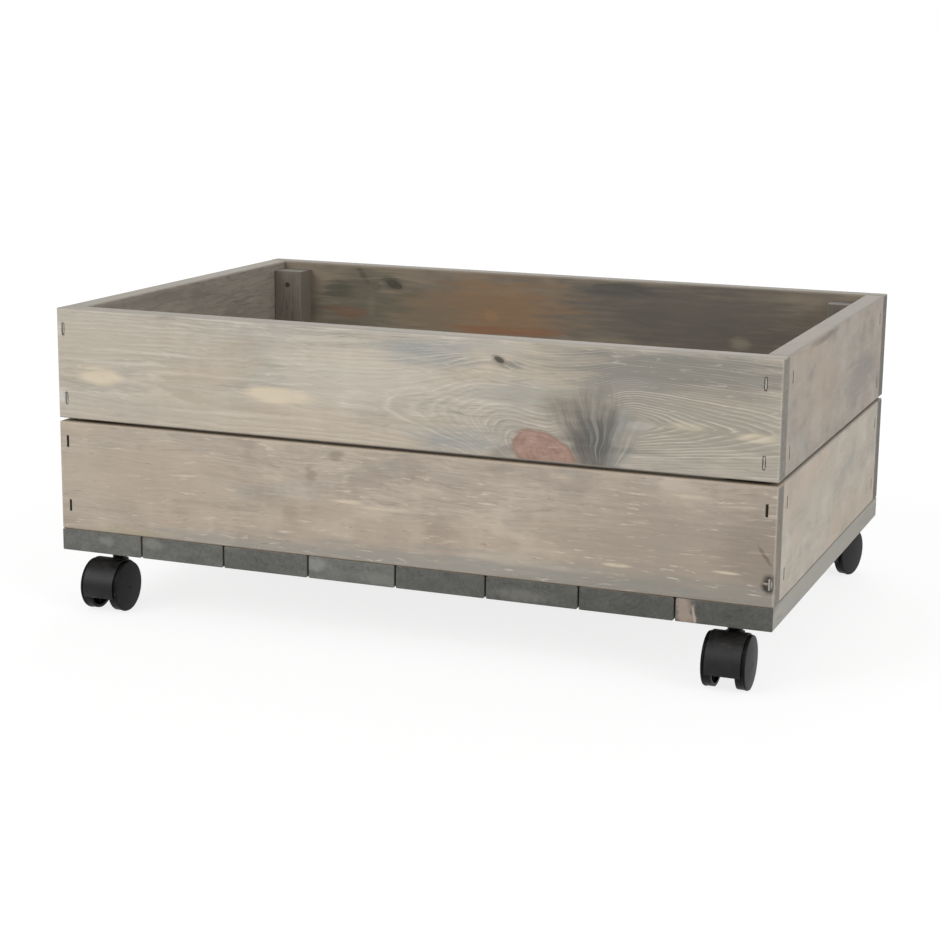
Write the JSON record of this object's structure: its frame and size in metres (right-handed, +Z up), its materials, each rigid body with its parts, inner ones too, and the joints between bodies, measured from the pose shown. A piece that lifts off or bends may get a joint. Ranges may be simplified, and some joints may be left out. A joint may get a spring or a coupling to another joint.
{
  "type": "rolling planter",
  "caption": "Low rectangular crate planter of planed boards on a slatted base, rolling on hooded twin-wheel swivel casters at its corners.",
  "frame": {"origin": "on the floor under the middle of the crate, at the lowest line of the wheels", "axes": "+X along the crate's length to the right as seen from the front, +Y from front to back, +Z up"},
  "size_m": [0.6, 0.4146, 0.253],
  "materials": {
    "wall_boards": "grey-washed planed softwood, matt",
    "base_slats": "dark grey-green stained softwood, matt",
    "corner_posts": "grey-brown stained softwood, matt",
    "staples": "dulled dark steel wire",
    "nails": "dulled steel",
    "inserts": "zinc-plated, satin",
    "stems": "dark zinc-plated steel, satin",
    "axles": "bright steel, satin",
    "caster_hoods": "black moulded plastic, satin",
    "caster_wheels": "black moulded plastic, satin"
  },
  "bodies": {
    "root": {"front_board_lower": "wall_boards", "front_board_upper": "wall_boards", "back_board_lower": "wall_boards", "back_board_upper": "wall_boards", "left_board_lower": "wall_boards", "left_board_upper": "wall_boards", "right_board_lower": "wall_boards", "right_board_upper": "wall_boards", "base_slat_1": "base_slats", "base_slat_2": "base_slats", "base_slat_3": "base_slats", "base_slat_4": "base_slats", "base_slat_5": "base_slats", "base_slat_6": "base_slats", "base_slat_7": "base_slats", "base_slat_8": "base_slats", "corner_post_front_left": "corner_posts", "corner_post_front_right": "corner_posts", "corner_post_back_left": "corner_posts", "corner_post_back_right": "corner_posts", "front_staples": "staples", "back_staples": "staples", "left_staples": "staples", "right_staples": "staples", "base_staples": "staples", "post_nails": "nails", "front_left_caster_insert": "inserts", "front_left_caster_stem": "stems", "front_right_caster_insert": "inserts", "front_right_caster_stem": "stems", "back_left_caster_insert": "inserts", "back_left_caster_stem": "stems", "back_right_caster_insert": "inserts", "back_right_caster_stem": "stems"},
    "front_left_caster": {"front_left_caster_hood": "caster_hoods", "front_left_caster_axle": "axles"},
    "front_left_left_wheel": {"front_left_caster_left_wheel": "caster_wheels"},
    "front_left_right_wheel": {"front_left_caster_right_wheel": "caster_wheels"},
    "front_right_caster": {"front_right_caster_hood": "caster_hoods", "front_right_caster_axle": "axles"},
    "front_right_left_wheel": {"front_right_caster_left_wheel": "caster_wheels"},
    "front_right_right_wheel": {"front_right_caster_right_wheel": "caster_wheels"},
    "back_left_caster": {"back_left_caster_hood": "caster_hoods", "back_left_caster_axle": "axles"},
    "back_left_left_wheel": {"back_left_caster_left_wheel": "caster_wheels"},
    "back_left_right_wheel": {"back_left_caster_right_wheel": "caster_wheels"},
    "back_right_caster": {"back_right_caster_hood": "caster_hoods", "back_right_caster_axle": "axles"},
    "back_right_left_wheel": {"back_right_caster_left_wheel": "caster_wheels"},
    "back_right_right_wheel": {"back_right_caster_right_wheel": "caster_wheels"}
  },
  "joints": [
    {"name": "front_left_swivel", "type": "hinge", "parent": "root", "child": "front_left_caster", "pos_m": [-0.2646, -0.169, 0.045], "axis": [0, 0, 1], "continuous": true},
    {"name": "front_left_left_roll", "type": "hinge", "parent": "front_left_caster", "child": "front_left_left_wheel", "pos_m": [-0.2646, -0.184, 0.021], "axis": [1, 0, 0], "continuous": true},
    {"name": "front_left_right_roll", "type": "hinge", "parent": "front_left_caster", "child": "front_left_right_wheel", "pos_m": [-0.2646, -0.184, 0.021], "axis": [1, 0, 0], "continuous": true},
    {"name": "front_right_swivel", "type": "hinge", "parent": "root", "child": "front_right_caster", "pos_m": [0.2646, -0.169, 0.045], "axis": [0, 0, 1], "continuous": true},
    {"name": "front_right_left_roll", "type": "hinge", "parent": "front_right_caster", "child": "front_right_left_wheel", "pos_m": [0.2646, -0.184, 0.021], "axis": [1, 0, 0], "continuous": true},
    {"name": "front_right_right_roll", "type": "hinge", "parent": "front_right_caster", "child": "front_right_right_wheel", "pos_m": [0.2646, -0.184, 0.021], "axis": [1, 0, 0], "continuous": true},
    {"name": "back_left_swivel", "type": "hinge", "parent": "root", "child": "back_left_caster", "pos_m": [-0.2646, 0.169, 0.045], "axis": [0, 0, 1], "continuous": true},
    {"name": "back_left_left_roll", "type": "hinge", "parent": "back_left_caster", "child": "back_left_left_wheel", "pos_m": [-0.26669, 0.18385, 0.021], "axis": [-0.9903, -0.1392, 0], "continuous": true},
    {"name": "back_left_right_roll", "type": "hinge", "parent": "back_left_caster", "child": "back_left_right_wheel", "pos_m": [-0.26669, 0.18385, 0.021], "axis": [-0.9903, -0.1392, 0], "continuous": true},
    {"name": "back_right_swivel", "type": "hinge", "parent": "root", "child": "back_right_caster", "pos_m": [0.2646, 0.169, 0.045], "axis": [0, 0, 1], "continuous": true},
    {"name": "back_right_left_roll", "type": "hinge", "parent": "back_right_caster", "child": "back_right_left_wheel", "pos_m": [0.26848, 0.18349, 0.021], "axis": [-0.9659, 0.2588, 0], "continuous": true},
    {"name": "back_right_right_roll", "type": "hinge", "parent": "back_right_caster", "child": "back_right_right_wheel", "pos_m": [0.26848, 0.18349, 0.021], "axis": [-0.9659, 0.2588, 0], "continuous": true}
  ]
}
